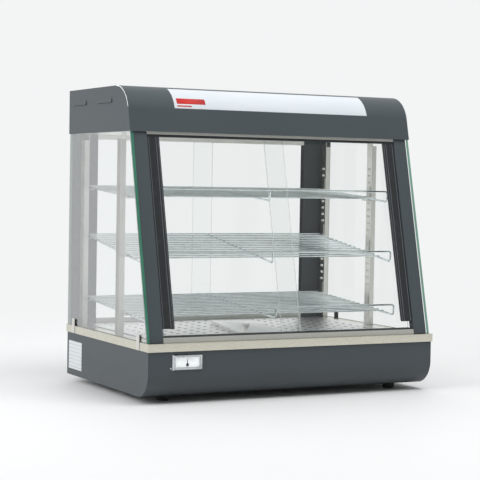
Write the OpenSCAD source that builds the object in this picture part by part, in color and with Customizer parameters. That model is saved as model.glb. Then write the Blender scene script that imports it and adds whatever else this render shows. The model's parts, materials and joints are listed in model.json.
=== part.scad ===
// Countertop hot food display case: heated base, slanted glass front with two sliding doors,
// two sliding rear doors, three sloping wire shelves and a lit header.
// Origin: centre of the footprint at the counter. +Z up, the front faces -Y.

/* [Overall] */
// Overall width, over the side glass clips
case_w = 660; // [560:1:860]
// Overall depth, over the deck band
case_d = 438; // [360:1:560]
// Overall height, standing on its feet
case_h = 624; // [520:1:780]
// Thickness of every folded steel sheet
sheet = 1.2; // [0.8:0.1:1.6]
// Play between loose pieces
play = 0.5; // [0.3:0.1:0.8]

/* [Base] */
// Height of each rubber foot
foot_h = 12; // [8:1:20]
// Diameter of each rubber foot
foot_d = 26; // [20:1:36]
// Centre of each foot, in from the side of the case
foot_inset_x = 65; // [30:1:100]
// Centre of each foot, in from the front and the rear
foot_inset_y = 60; // [58:1:90]
// Height of the painted base, from the feet to the band
base_h = 91.4; // [84:0.1:120]
// Radius of the curve under the front of the base
base_curve_r = 50; // [30:1:54]
// Height of the stainless band round the deck
band_h = 16.4; // [12:0.1:22]
// Depth that the rear control panel sits in from the deck's edge
rear_recess = 24; // [23:0.5:30]
// Depth of the heater pan under the deck
pan_depth = 40; // [32:1:44]

/* [Front] */
// Lean of the front glass from upright, in degrees
slant = 13.2; // [6:0.1:16]
// Foot of the front posts, back from the deck's front edge
front_setback = 12; // [8:0.5:24]
// Width of each front post
post_w = 30; // [20:1:40]
// Depth of each front post, front to back
post_t = 16; // [12:0.5:22]
// Width of each grooved side channel
channel_w = 27; // [18:1:34]
// Gap left open under each side channel
channel_lift = 14.5; // [5:0.5:30]
// Overlap of the two front doors
front_overlap = 40; // [20:1:60]

/* [Glass] */
// Thickness of the side glass
glass_t = 6; // [4:0.5:8]
// Thickness of each sliding door
door_t = 4; // [3:0.5:5]
// Width of each side glass clip
clip_w = 14; // [10:1:30]
// Height of each clip above the deck
clip_rise = 15; // [10:1:25]

/* [Rear] */
// Width of the left rear post
rear_post_left_w = 54; // [40:1:80]
// Width of the right rear post, which is also the wiring duct
rear_post_right_w = 72; // [40:1:80]
// Overlap of the two rear doors
rear_overlap = 44; // [20:1:60]

/* [Header] */
// Height of the header
header_h = 92.8; // [84:0.1:130]
// Radius of the curved fascia
fascia_r = 64; // [40:1:74]
// How far the fascia stands in front of the posts
fascia_lip = 4.5; // [3:0.1:8]
// Length of the lit sign
sign_l = 454; // [300:1:500]
// Thickness of the sign panel
sign_t = 3; // [2:0.5:4]
// Length of each pressed louvre
louvre_l = 76; // [50:1:90]
// Height of each pressed louvre
louvre_h = 12; // [9:0.5:16]

/* [Shelves] */
// Vertical pitch of the upright slots
slot_pitch = 15; // [12:0.5:18]
// Distance of the top slot below the header
slot_top = 64; // [40:1:80]
// Width of each upright, front to back
upright_w = 21; // [18:1:26]
// Depth of each upright, side to side
upright_t = 11; // [9:1:16]
// Front uprights, back from the front glass at the header
upright_setback = 91; // [70:1:110]
// Clear distance from an upright's face to the side glass
upright_inset = 25.3; // [22:0.1:34]
// Diameter of the cross wires
wire_d = 3; // [2:0.5:3.5]
// Diameter of the shelf frame bars
bar_d = 4; // [3.5:0.5:5]
// Pitch of the cross wires
wire_pitch = 20; // [15:1:30]
// Height of the front lip of a shelf
lip_h = 22; // [14:1:26]
// Gap from the top shelf to the front glass
top_shelf_gap = 50; // [40:1:80]
// Gap from the middle shelf to the front glass
middle_shelf_gap = 61; // [40:1:90]
// Gap from the bottom shelf to the front glass
bottom_shelf_gap = 71; // [40:1:100]

/* [Floor] */
// Pitch of the floor plate holes
hole_pitch = 30; // [24:1:40]
// Diameter of the floor plate holes
hole_d = 8.5; // [6:0.5:12]
// Width of the water tray
tray_w = 96; // [70:1:120]
// Height of the water tray
tray_h = 8.5; // [6.5:0.5:14]
// Turn of the loose water tray, in degrees
tray_turn = -14.5; // [-15:0.5:15]
// Gap from the tray to the front door track
tray_front_gap = 18; // [14:1:60]
// Gap from the tray to the rear posts
tray_rear_gap = 95; // [60:1:120]

/* [Fittings] */
// Width of the thermometer's bezel
gauge_w = 65; // [56:1:80]
// Height of the thermometer's bezel
gauge_h = 32; // [28:1:36]
// Centre of the thermometer, in from the left side
gauge_inset = 87; // [60:1:200]
// Diameter of the thermostat knob
knob_d = 36; // [26:1:38]
// Diameter of the cable entry
cable_d = 9; // [7:0.5:11]
// Diameter of the lamp tube
lamp_d = 16; // [12:1:20]

/* [Hidden] */
$fn = 48;
eps = 0.01;
far = 2000;
// Steps in the header's bend
bend_steps = 32;

// Levels
band_z = foot_h + base_h;
deck_z = band_z + band_h;
head_z = case_h - header_h;

// Half widths, from the outside in
clip_x = case_w / 2;
band_x = clip_x - sheet;
shell_gap = 0.8;
base_x = band_x - sheet - shell_gap;
head_x = band_x - 1;
louvre_out = clip_x - head_x;
glass_x = base_x - play;
glass_in = glass_x - glass_t;
post_x = glass_in - post_w;
channel_x = post_x - channel_w;
// The middle wall of a side channel is one step shorter than its front wall, and the rear wall two
channel_step = channel_w / 6;

// Depths
rear_y = case_d / 2;
front_y = -rear_y;
base_front_y = front_y + sheet + 1.6;
base_rear_y = rear_y - 2;
panel_y = rear_y - rear_recess;
base_tail_y = base_front_y + base_curve_r + 4;
slope = tan(slant);

// Door grooves: walls, groove width, and where each glass pane stands in its groove
wall = 2;
groove_w = door_t + 2;
groove_inner = wall + groove_w;
liner_o = 2.5;
liner_t = 3 * wall + 2 * groove_w;
pane_o = [liner_o + wall + 1, liner_o + wall + groove_inner + 1];
track_wall = 1.5;
track_rise = 9.7;
liner_rise = track_rise + 2;
groove_floor = 4.2;
upper_track_drop = 5;
upper_liner_drop = 10;
groove_roof = 3.2;
edge_gap = 2;
door_z0 = deck_z + groove_floor + play;
door_z1 = head_z - groove_roof - play;

// Rear doors
rear_wall = 1.5;
rear_groove_w = door_t + 1;
rear_depth = 3 * rear_wall + 2 * rear_groove_w + play;
rear_y0 = rear_y - rear_depth - play;
rear_pane_y = [rear_y0 + rear_wall + play, rear_y0 + 2 * rear_wall + rear_groove_w + play];
rear_groove_depth = 12;
rear_left_x = rear_post_left_w - glass_in;
rear_right_x = glass_in - rear_post_right_w;
rear_mid_x = (rear_left_x + rear_right_x) / 2;
rear_track_rise = 11.2;

// Shelf uprights and clips
up_x = glass_in - upright_inset;
up_front_y = yf(head_z) + upright_setback;
up_rear_y = rear_y0 - 1.5 - upright_w;
slot_w = 12;
slot_h = 5;
slot_count = floor((head_z - slot_top - deck_z - slot_pitch) / slot_pitch) + 1;
leg_drop = 13;
clip_support = 5;
clip_t = 1.5;
ledge_in = 14;
clip_plate_w = 14;
ledge_drop = 4;

// Slot used by the rear and the front clips of the top, middle and bottom shelf
rear_slots = [3, 10, slot_count - 4];
front_slots = [4, 12, slot_count - 3];
shelf_gaps = [top_shelf_gap, middle_shelf_gap, bottom_shelf_gap];
bar_x = up_x - 5.5;
bend_r = 6;
weld = 0.6;
rear_clip_y = up_rear_y + upright_w / 2;
front_clip_y = up_front_y + upright_w / 2;
shelf_tail = 7.5;

// Floor plates, deck opening and heater pan
floor_x = up_x - 2;
floor_front_y = yf(deck_z, liner_o + liner_t) + 6;
floor_rear_y = rear_y0 - 5.5;
ledge_w = 9;
pan_margin = 5;
pan_rear_margin = 3;
plate_t = 1.5;
open_x = floor_x - ledge_w;
open_front_y = floor_front_y + ledge_w;
open_rear_y = min(floor_rear_y - ledge_w, panel_y - 2 * sheet - pan_rear_margin - 0.6);
plate_z = deck_z + plate_t;
pan_z = deck_z - sheet - pan_depth;
flange_w = 8;
pan_x = open_x + pan_margin;
pan_front_y = open_front_y - pan_margin;
pan_rear_y = open_rear_y + pan_rear_margin;

// Heater: four legs along X joined by half turns
heater_d = 8;
heater_z = pan_z + 18;
heater_legs = 4;
heater_turn_r = round((open_rear_y - open_front_y - 110) / (2 * heater_legs - 2));
heater_mid_y = round((open_rear_y + open_front_y) / 2);
heater_x = round(open_x) - heater_turn_r - 20;
support_x = heater_x * 0.6;

// Header
fascia_y = yf(head_z) - fascia_lip;
head_r_y = fascia_y + (case_h - head_z) * slope + fascia_r * tan((90 - slant) / 2);
head_r_z = case_h - fascia_r;
sign_low = 17.6;
sign_high = 71.4;
sign_flange = 8;
louvre_z = case_h - 27;
louvre_y = [rear_y - 60, rear_y - 200];
lamp_y = head_r_y;
lamp_z = head_z + header_h / 2;
lamp_l = sign_l + 60;

// Thermometer in the base front
gauge_x = gauge_inset - clip_x;
gauge_z = band_z - 21.4;
gauge_frame = 6;
gauge_box_gap = 4;
gauge_box_d = 18;
gauge_face_y = front_y + 0.2;
dial_y = base_front_y + 1.2;
needle_l = 11;
needle_pivot_z = gauge_z - 5;
gauge_screw_x = gauge_x - gauge_w / 2 - 3.5;
gauge_screw_z = gauge_z - 11;

// Controls in the rear panel
control_z = foot_h + 30;
thermostat_x = -120;
power_x = -40;
light_x = 0;
pilot_x = 36;
gland_x = 200;
rocker_tilt = 8;
rocker_half = 12.6;
shaft_d = 6;
shaft_play = 0.05;

// Water tray: its rim follows the floor between the front track and the rear posts
tray_y0 = floor_front_y - 6 + tray_front_gap;
tray_y1 = rear_y0 - tray_rear_gap;
tray_l = tray_y1 - tray_y0;
tray_x = -20;
tray_slope = 4;
tray_mid_y = (tray_y0 + tray_y1) / 2;
cover_t = 1.2;
tray_knob_h = 19;

// Glass plane: y of the front face at height z, o behind it
function yf(z, o = 0) = front_y + front_setback + o + (z - deck_z) * slope;
function slot_z(n) = head_z - slot_top - n * slot_pitch;
function support_z(n) = slot_z(n) - clip_support;

// An outline drawn in (y, z), stretched from x0 to x1
module along_x(x0, x1) translate([x0, 0, 0]) rotate([90, 0, 90]) linear_extrude(x1 - x0) children();
// An outline drawn in (x, z), stretched from y0 to y1
module along_y(y0, y1) translate([0, y1, 0]) rotate([90, 0, 0]) linear_extrude(y1 - y0) children();
module block(a, b) translate(a) cube(b - a);
module both_sides() { children(); mirror([1, 0, 0]) children(); }

// A bar parallel to the front glass, o0 to o1 behind its face
module slanted(x0, x1, o0, o1, z0, z1)
    along_x(x0, x1)
        polygon([[yf(z0, o0), z0], [yf(z0, o1), z0], [yf(z1, o1), z1], [yf(z1, o0), z1]]);

// Base shell
module base_outline(inset = 0) {
    translate([base_front_y + base_curve_r, foot_h + base_curve_r]) circle(base_curve_r - inset);
    translate([base_front_y + inset, foot_h + base_curve_r])
        square([base_curve_r, deck_z - sheet - foot_h - base_curve_r]);
    translate([base_front_y + base_curve_r, foot_h + inset])
        square([base_rear_y - base_front_y - base_curve_r, deck_z - sheet - foot_h - inset]);
}

module base_front_panel() color([0.27, 0.3, 0.32]) {
    difference() {
        along_x(sheet - base_x, base_x - sheet) difference() {
            base_outline();
            base_outline(sheet);
            translate([base_tail_y, 0]) square([far, far]);
            translate([base_front_y + base_curve_r, foot_h + base_curve_r]) square([far, far]);
        }
        gauge_cutout();
        translate([gauge_screw_x, base_front_y - 5, gauge_screw_z]) rotate([-90, 0, 0]) cylinder(d = 2.4, h = 10);
    }
}

module base_side() along_x(base_x - sheet, base_x) base_outline();
module base_side_left() color([0.42, 0.45, 0.47]) mirror([1, 0, 0]) base_side();
module base_side_right() color([0.27, 0.3, 0.32]) base_side();

module base_rear_panel() color([0.27, 0.3, 0.32]) difference() {
    block([sheet - base_x, panel_y - sheet, foot_h + sheet], [base_x - sheet, panel_y, deck_z - 2 * sheet]);
    along_y(panel_y - far, panel_y + far) {
        translate([thermostat_x, control_z]) circle(d = shaft_d + 2);
        translate([pilot_x, control_z]) circle(d = 10);
        translate([gland_x, control_z]) circle(d = cable_d + 5);
        for (x = [power_x, light_x]) translate([x, control_z]) square([15.6, 30.6], center = true);
        for (x = [-1, 1], k = [0:5])
            translate([x * 255 + (k - 2.5) * 10, control_z]) square([4, 30], center = true);
        panel_screw_places() circle(d = 3.4);
    }
}

module panel_screw_places()
    for (x = [-1, 1], z = [foot_h + 10, deck_z - 12]) translate([x * (base_x - 14), z]) children();

module base_floor() color([0.6, 0.62, 0.63]) difference() {
    block([sheet - base_x, base_tail_y, foot_h], [base_x - sheet, panel_y, foot_h + sheet]);
    translate([0, 0, foot_h - 1]) linear_extrude(sheet + 2) {
        foot_places() circle(d = 5.5);
        for (k = [-6:6]) translate([k * 16, 0]) square([5, 60], center = true);
    }
}

module foot_places()
    for (x = [-1, 1], y = [front_y + foot_inset_y + 10, rear_y - foot_inset_y + 10])
        translate([x * (clip_x - foot_inset_x), y]) children();

module feet() color([0.06, 0.06, 0.06]) foot_places() rotate_extrude()
    polygon([[2.75, 6], [2.75, foot_h], [foot_d / 2, foot_h], [foot_d / 2, foot_h - 3],
             [foot_d / 2 - 2, 0], [5.5, 0], [5.5, 6]]);

// Stainless deck with its turned-down band
module deck() color([0.74, 0.72, 0.64]) difference() {
    block([-band_x, front_y, band_z], [band_x, rear_y, deck_z]);
    block([sheet - band_x, front_y + sheet, band_z - 1], [band_x - sheet, rear_y - sheet, deck_z - sheet]);
    block([-open_x, open_front_y, band_z], [open_x, open_rear_y, deck_z + 1]);
}

module floor_plates() color([0.86, 0.87, 0.88]) {
    columns = floor((floor_x - hole_pitch / 2) / hole_pitch);
    rows = floor((floor_rear_y - floor_front_y - hole_pitch / 2) / hole_pitch);
    first_y = (floor_rear_y + floor_front_y - (rows - 1) * hole_pitch) / 2;
    both_sides() translate([0, 0, deck_z]) linear_extrude(plate_t) difference() {
        translate([play, floor_front_y]) square([floor_x - play, floor_rear_y - floor_front_y]);
        for (i = [0:columns - 1], j = [0:rows - 1])
            translate([(i + 0.5) * hole_pitch, first_y + j * hole_pitch]) circle(d = hole_d);
    }
}

module heater_pan() color([0.7, 0.71, 0.72]) difference() {
    union() {
        block([-pan_x - sheet, pan_front_y - sheet, pan_z],
              [pan_x + sheet, pan_rear_y + sheet, deck_z - sheet]);
        block([-pan_x - flange_w, pan_front_y - flange_w, deck_z - 2 * sheet],
              [pan_x + flange_w, open_rear_y + flange_w, deck_z - sheet]);
    }
    block([-pan_x, pan_front_y, pan_z + sheet], [pan_x, pan_rear_y, deck_z]);
    for (y = [leg_y(0), leg_y(heater_legs - 1)])
        translate([-pan_x - 5, y, heater_z]) rotate([0, 90, 0]) cylinder(d = heater_d + 0.6, h = 10);
}

function leg_y(k) = heater_mid_y + (2 * k - heater_legs + 1) * heater_turn_r;

module heating_element() color([0.33, 0.3, 0.28]) {
    for (k = [0:heater_legs - 1]) {
        outer = k == 0 || k == heater_legs - 1;
        x0 = outer ? -pan_x - 12 : -heater_x;
        translate([x0, leg_y(k), heater_z]) rotate([0, 90, 0]) cylinder(d = heater_d, h = heater_x - x0);
    }
    for (k = [0:heater_legs - 2])
        translate([k % 2 == 0 ? heater_x : -heater_x, leg_y(k) + heater_turn_r, heater_z])
            rotate([0, 0, k % 2 == 0 ? -90 : 90])
                rotate_extrude(angle = 180) translate([heater_turn_r, 0]) circle(d = heater_d);
    for (y = [leg_y(0), leg_y(heater_legs - 1)])
        translate([-pan_x - 20, y, heater_z]) rotate([0, 90, 0]) cylinder(d = 4, h = 8);
}

module element_supports() color([0.7, 0.71, 0.72]) for (x = [-support_x, support_x])
    along_x(x - 1, x + 1) difference() {
        translate([leg_y(0) - 14, pan_z + sheet])
            square([leg_y(heater_legs - 1) - leg_y(0) + 28, heater_z - pan_z - sheet]);
        for (k = [0:heater_legs - 1]) translate([leg_y(k), heater_z]) circle(d = heater_d + 0.2);
    }

module terminal_block() color([0.92, 0.9, 0.84])
translate([gland_x - 70, panel_y - 60, foot_h + sheet]) difference() {
    union() {
        cube([60, 22, 10]);
        translate([0, 6, 0]) cube([60, 10, 18]);
    }
    for (k = [0:4]) translate([6 + 12 * k, 11, 6]) cylinder(d = 5, h = 20);
}

// Thermostat
module thermostat_body() color([0.85, 0.84, 0.8])
translate([thermostat_x, panel_y - sheet, control_z]) difference() {
    union() {
        translate([-17, -26, -17]) cube([34, 24, 34]);
        rotate([90, 0, 0]) cylinder(d = 16, h = 4);
    }
    rotate([90, 0, 0]) translate([0, 0, -1]) cylinder(d = shaft_d + 2 * shaft_play, h = 19);
}

module thermostat_knob() color([0.07, 0.07, 0.08])
    translate([thermostat_x, panel_y, control_z]) rotate([-90, 0, 0]) difference() {
        union() {
            translate([0, 0, 1]) cylinder(d = knob_d, h = 4);
            translate([0, 0, 5]) cylinder(d = knob_d - 10, h = 12);
            translate([-3, 4 - knob_d / 2, 5]) cube([6, knob_d - 8, 15]);
            translate([0, 0, -sheet - 16]) cylinder(d = shaft_d, h = sheet + 18);
        }
        translate([-0.8, -knob_d / 2, 19]) cube([1.6, knob_d / 2, 2]);
    }

// Rocker switches: a frame and box in the panel, and a rocker on two pins
module switch_box(x) translate([x, panel_y, control_z]) difference() {
    union() {
        translate([-9, 0, -17]) cube([18, 2, 34]);
        translate([-7.5, -18, -15]) cube([15, 18, 30]);
    }
    translate([-6.2, -15, -13.6]) cube([12.4, 20, 27.2]);
    translate([-20, -1, 0]) rotate([0, 90, 0]) cylinder(d = 2.4, h = 40);
}

module rocker(x) translate([x, panel_y - 1, control_z]) rotate([-rocker_tilt, 0, 0]) {
    along_x(-5.8, 5.8)
        polygon([[-3, -rocker_half], [5.5, -rocker_half], [3.2, 0], [5.5, rocker_half], [-3, rocker_half]]);
    translate([-7, 0, 0]) rotate([0, 90, 0]) cylinder(d = 2.2, h = 14);
}

module power_switch() color([0.08, 0.08, 0.08]) switch_box(power_x);
module power_rocker() color([0.75, 0.08, 0.06]) rocker(power_x);
module light_switch() color([0.08, 0.08, 0.08]) switch_box(light_x);
module light_rocker() color([0.1, 0.1, 0.1]) rocker(light_x);

module pilot_lamp() color([0.9, 0.45, 0.1]) translate([pilot_x, panel_y, control_z]) rotate([-90, 0, 0]) {
    translate([0, 0, -14]) cylinder(d = 9.6, h = 14);
    rotate_extrude() polygon([[0, 0], [7, 0], [7, 1.5], [5.5, 2.5], [4, 5], [0, 6]]);
}

module cable_gland() color([0.08, 0.08, 0.08]) translate([gland_x, panel_y, control_z]) rotate([-90, 0, 0])
    difference() {
        union() {
            translate([0, 0, -sheet - 6]) cylinder(d = cable_d + 4.6, h = sheet + 6);
            translate([0, 0, -sheet - 5]) cylinder(d = cable_d + 12, h = 5, $fn = 6);
            cylinder(d = cable_d + 13, h = 6, $fn = 6);
            rotate_extrude() polygon([[cable_d / 2, 0], [cable_d / 2 + 5, 0], [cable_d / 2 + 5, 14],
                                      [cable_d / 2 + 2.5, 21], [cable_d / 2, 21]]);
        }
        translate([0, 0, -20]) cylinder(d = cable_d, h = 60);
    }

// Thermometer: bezel and cup, dial, needle and window
module gauge_cutout() translate([gauge_x, base_front_y - 5, gauge_z])
    translate([play - gauge_w / 2 + gauge_box_gap - 1, 0, play - gauge_h / 2 + gauge_box_gap - 1])
        cube([gauge_w - 2 * gauge_box_gap + 2 - 2 * play, 10, gauge_h - 2 * gauge_box_gap + 2 - 2 * play]);

module gauge_body() color([0.88, 0.89, 0.9]) {
    proud = base_front_y - gauge_face_y;
    bevel = proud * 0.8;
    box_w = gauge_w - 2 * gauge_box_gap;
    box_h = gauge_h - 2 * gauge_box_gap;
    difference() {
        union() {
            intersection() {
                translate([gauge_x, 0, 0]) along_y(gauge_face_y, base_front_y)
                    translate([-gauge_w / 2, gauge_z - gauge_h / 2]) square([gauge_w, gauge_h]);
                translate([0, 0, gauge_z]) along_x(gauge_x - gauge_w, gauge_x + gauge_w)
                    polygon([[base_front_y, -gauge_h / 2], [gauge_face_y, bevel - gauge_h / 2],
                             [gauge_face_y, gauge_h / 2 - bevel], [base_front_y, gauge_h / 2]]);
                translate([gauge_x, 0, gauge_z - gauge_h]) linear_extrude(2 * gauge_h)
                    polygon([[-gauge_w / 2, base_front_y], [bevel - gauge_w / 2, gauge_face_y],
                             [gauge_w / 2 - bevel, gauge_face_y], [gauge_w / 2, base_front_y]]);
            }
            block([gauge_x - box_w / 2, base_front_y - eps, gauge_z - box_h / 2],
                  [gauge_x + box_w / 2, base_front_y + gauge_box_d, gauge_z + box_h / 2]);
        }
        block([gauge_x - gauge_w / 2 + gauge_frame, gauge_face_y - 1, gauge_z - gauge_h / 2 + gauge_frame],
              [gauge_x + gauge_w / 2 - gauge_frame, base_front_y + gauge_box_d - 1.5,
               gauge_z + gauge_h / 2 - gauge_frame]);
        translate([gauge_x, base_front_y + gauge_box_d - 5, gauge_z]) rotate([-90, 0, 0])
            cylinder(d = 5, h = 10);
    }
}

module gauge_dial() color([0.95, 0.95, 0.93]) {
    block([gauge_x - gauge_w / 2 + gauge_frame, dial_y, gauge_z - gauge_h / 2 + gauge_frame],
          [gauge_x + gauge_w / 2 - gauge_frame, dial_y + 1, gauge_z + gauge_h / 2 - gauge_frame]);
    translate([gauge_x, dial_y + 1, needle_pivot_z]) rotate([-90, 0, 0]) cylinder(d = 9, h = 8);
}

module gauge_needle() color([0.12, 0.12, 0.13]) translate([gauge_x, dial_y - 0.3, needle_pivot_z])
    rotate([90, 0, 0]) linear_extrude(0.8) {
        circle(d = 6);
        polygon([[-0.9, 0], [0.9, 0], [0.3, needle_l], [-0.3, needle_l]]);
    }

module gauge_lens() color([0.9, 0.95, 0.97, 0.35])
    block([gauge_x - gauge_w / 2 + gauge_frame, gauge_face_y + 0.4, gauge_z - gauge_h / 2 + gauge_frame],
          [gauge_x + gauge_w / 2 - gauge_frame, gauge_face_y + 1.4, gauge_z + gauge_h / 2 - gauge_frame]);

module rating_plate() color([0.9, 0.91, 0.92])
    block([-base_x - 0.6, rear_y - 88, foot_h + 14], [-base_x, rear_y - 13, foot_h + 74]);

// Water tray, a shallow loose pan with sloping sides, its cover and lift knob
module tray_shape(w, l, z0, z1, lean) intersection() {
    along_y(-l / 2, l / 2) polygon([[lean - w / 2, z0], [w / 2 - lean, z0], [w / 2, z1], [-w / 2, z1]]);
    along_x(-w / 2, w / 2) polygon([[lean - l / 2, z0], [l / 2 - lean, z0], [l / 2, z1], [-l / 2, z1]]);
}

module on_tray() translate([tray_x, tray_mid_y, plate_z]) rotate([0, 0, tray_turn]) children();

module water_tray() color([0.8, 0.81, 0.81]) on_tray() difference() {
    tray_shape(tray_w, tray_l, 0, tray_h, tray_slope);
    tray_shape(tray_w - 2 * sheet, tray_l - 2 * sheet, sheet, tray_h + eps, tray_slope);
}

module tray_cover() color([0.84, 0.85, 0.85]) on_tray() {
    rim = 2 * sheet + 4;
    difference() {
        translate([(rim - tray_w) / 2, (rim - tray_l) / 2, tray_h - 1 - cover_t])
            cube([tray_w - rim, tray_l - rim, cover_t]);
        for (k = [-3:3]) translate([-tray_w / 4, k * 30 - 2, 0]) cube([tray_w / 2, 4, far]);
    }
}

module tray_knob() color([0.96, 0.96, 0.95]) on_tray()
    translate([14 - tray_w / 2 + 6, 14 - tray_l / 2, tray_h - 1]) rotate_extrude()
        polygon([[0, 0], [5, 0], [4, 3], [4.5, 9], [8, 15], [8, tray_knob_h], [0, tray_knob_h]]);

// Side glass, its clips and pads
module side_glass() {
    rise = head_z + 10;
    along_x(glass_in, glass_x)
        polygon([[rear_y - 1, deck_z], [yf(deck_z, -2), deck_z], [yf(rise, -2), rise],
                 [rear_y - 1 - sheet, rise]]);
}
module side_glass_left() color([0.8, 0.92, 0.9, 0.3]) mirror([1, 0, 0]) side_glass();
module side_glass_right() color([0.8, 0.92, 0.9, 0.3]) side_glass();

module clip_places() for (y = [rear_y - 43, front_y + 48]) translate([0, y, 0]) children();

module glass_clips() color([0.8, 0.8, 0.78]) both_sides() clip_places()
    along_y(-clip_w / 2, clip_w / 2)
        polygon([[band_x, band_z + 1], [clip_x, band_z + 1], [clip_x, deck_z + clip_rise],
                 [glass_x + 1, deck_z + clip_rise], [glass_x + 1, deck_z + clip_rise - sheet],
                 [band_x, deck_z + clip_rise - sheet]]);

module clip_pads() color([0.07, 0.07, 0.07]) both_sides() clip_places()
    block([glass_x, -clip_w / 2, deck_z], [band_x, clip_w / 2, deck_z + clip_rise - sheet]);

// Front frame
module front_post() difference() {
    slanted(post_x, glass_in, 0, post_t, deck_z, head_z);
    slanted(post_x + 1.5, glass_in - 1.5, 1.5, post_t - 1.5, deck_z - 1, head_z + 1);
}
module front_post_left() color([0.2, 0.22, 0.24]) mirror([1, 0, 0]) front_post();
module front_post_right() color([0.2, 0.22, 0.24]) front_post();

module grooves(x0, x1, z0, z1) for (k = [0, 1])
    slanted(x0, x1, liner_o + wall + k * groove_inner, liner_o + wall + k * groove_inner + groove_w, z0, z1);

module door_channels() color([0.05, 0.05, 0.06]) both_sides() difference() {
    slanted(channel_x, post_x, liner_o, liner_o + liner_t, deck_z + liner_rise + channel_lift,
            head_z - upper_liner_drop);
    grooves(channel_x - 1, post_x - wall, deck_z, head_z);
    for (k = [0, 1])
        slanted(channel_x - 1, channel_x + (k + 1) * channel_step, liner_o + wall + k * groove_inner,
                liner_o + liner_t + 1, deck_z, head_z);
}

// An angle profile under or over a liner: its web lies at z0, up to z1, and its lip reaches z2
module track(z0, z1, z2) along_x(-post_x, post_x) polygon([
    [yf(z0, liner_o - track_wall), z0], [yf(z0, liner_o + liner_t), z0], [yf(z1, liner_o + liner_t), z1],
    [yf(z1, liner_o), z1], [yf(z2, liner_o), z2], [yf(z2, liner_o - track_wall), z2]
]);
module front_lower_track() color([0.75, 0.75, 0.72]) track(deck_z, deck_z + track_wall, deck_z + track_rise);
module front_upper_track() color([0.75, 0.75, 0.72]) track(head_z, head_z - track_wall, head_z - upper_track_drop);

module front_track_liners() color([0.05, 0.05, 0.06]) {
    difference() {
        slanted(-post_x, post_x, liner_o, liner_o + liner_t, deck_z + track_wall, deck_z + liner_rise);
        grooves(-far, far, deck_z + groove_floor, deck_z + far);
    }
    difference() {
        slanted(-post_x, post_x, liner_o, liner_o + liner_t, head_z - upper_liner_drop, head_z - track_wall);
        grooves(-far, far, head_z - far, head_z - groove_roof);
    }
}

module front_door(x0, x1, k) slanted(x0, x1, pane_o[k], pane_o[k] + door_t, door_z0, door_z1);
module front_door_left() color([0.85, 0.95, 0.93, 0.3])
    front_door(wall + edge_gap - post_x, front_overlap / 2, 0);
module front_door_right() color([0.85, 0.95, 0.93, 0.3])
    front_door(-front_overlap / 2, post_x - wall - edge_gap, 1);

// Rear frame
module rear_grooves() for (k = [0, 1])
    translate([0, rear_y0 + rear_wall + k * (rear_wall + rear_groove_w), 0]) children();

module rear_post(w) difference() {
    block([glass_in - w, rear_y0, deck_z], [glass_in, rear_y0 + rear_depth, head_z]);
    block([glass_in - w + rear_groove_depth + 1.5, rear_y0 + 1.5, deck_z - 1],
          [glass_in - 1.5, rear_y0 + rear_depth - 1.5, head_z + 1]);
    rear_grooves() block([glass_in - w - 1, 0, deck_z - 1],
                         [glass_in - w + rear_groove_depth, rear_groove_w, head_z + 1]);
}
module rear_post_left() color([0.23, 0.26, 0.28]) mirror([1, 0, 0]) rear_post(rear_post_left_w);
module rear_post_right() color([0.23, 0.26, 0.28]) rear_post(rear_post_right_w);

module rear_tracks() color([0.68, 0.68, 0.62]) {
    difference() {
        block([rear_left_x, rear_y0, deck_z], [rear_right_x, rear_y0 + rear_depth, deck_z + rear_track_rise]);
        rear_grooves() block([-far, 0, deck_z + groove_floor], [far, rear_groove_w, deck_z + far]);
    }
    difference() {
        block([rear_left_x, rear_y0, head_z - upper_liner_drop], [rear_right_x, rear_y0 + rear_depth, head_z]);
        rear_grooves() block([-far, 0, deck_z], [far, rear_groove_w, head_z - groove_roof]);
    }
}

module rear_door(x0, x1, k)
    block([x0, rear_pane_y[k], door_z0], [x1, rear_pane_y[k] + door_t, door_z1]);
module rear_door_left() color([0.85, 0.95, 0.93, 0.3])
    rear_door(rear_left_x - rear_groove_depth + edge_gap, rear_mid_x + rear_overlap / 2, 0);
module rear_door_right() color([0.85, 0.95, 0.93, 0.3])
    rear_door(rear_mid_x - rear_overlap / 2, rear_right_x + rear_groove_depth - edge_gap, 1);

// Slotted uprights: a channel whose open side faces the side glass
module upright(y0) difference() {
    union() {
        block([up_x, y0, deck_z], [up_x + upright_t, y0 + upright_w, head_z - leg_drop]);
        block([up_x, y0, deck_z], [up_x + sheet, y0 + upright_w, head_z]);
    }
    block([up_x + sheet, y0 + sheet, deck_z - 1], [up_x + upright_t + 1, y0 + upright_w - sheet, head_z + 1]);
    for (n = [0:slot_count - 1])
        block([up_x - 1, y0 + (upright_w - slot_w) / 2, slot_z(n) - slot_h / 2],
              [up_x + sheet + 1, y0 + (upright_w + slot_w) / 2, slot_z(n) + slot_h / 2]);
}
module front_uprights() color([0.78, 0.78, 0.74]) both_sides() upright(up_front_y);
module rear_uprights() color([0.7, 0.7, 0.66]) both_sides() upright(up_rear_y);

// One shelf clip: plate on the upright, two tongues in its slots and a ledge under the shelf's bar
module shelf_clip(y, z) {
    clip_top = slot_pitch + clip_support + 6;
    xz = [[up_x, -ledge_drop - clip_t], [up_x, clip_top], [up_x - clip_t, clip_top],
          [up_x - clip_t, -ledge_drop], [up_x - ledge_in + clip_t, -ledge_drop], [up_x - ledge_in + clip_t, 0],
          [up_x - ledge_in, 0], [up_x - ledge_in, -ledge_drop - clip_t]];
    translate([0, y, z]) {
        along_y(-clip_plate_w / 2, clip_plate_w / 2) polygon(xz);
        for (s = [clip_support, clip_support + slot_pitch])
            block([up_x - eps, play - slot_w / 2, s - 1.5], [up_x + sheet + 2, slot_w / 2 - play, s + 1.5]);
    }
}
module shelf_clips() color([0.45, 0.46, 0.46]) both_sides() for (k = [0:2]) {
    shelf_clip(rear_clip_y, support_z(rear_slots[k]));
    shelf_clip(front_clip_y, support_z(front_slots[k]));
}

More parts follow.
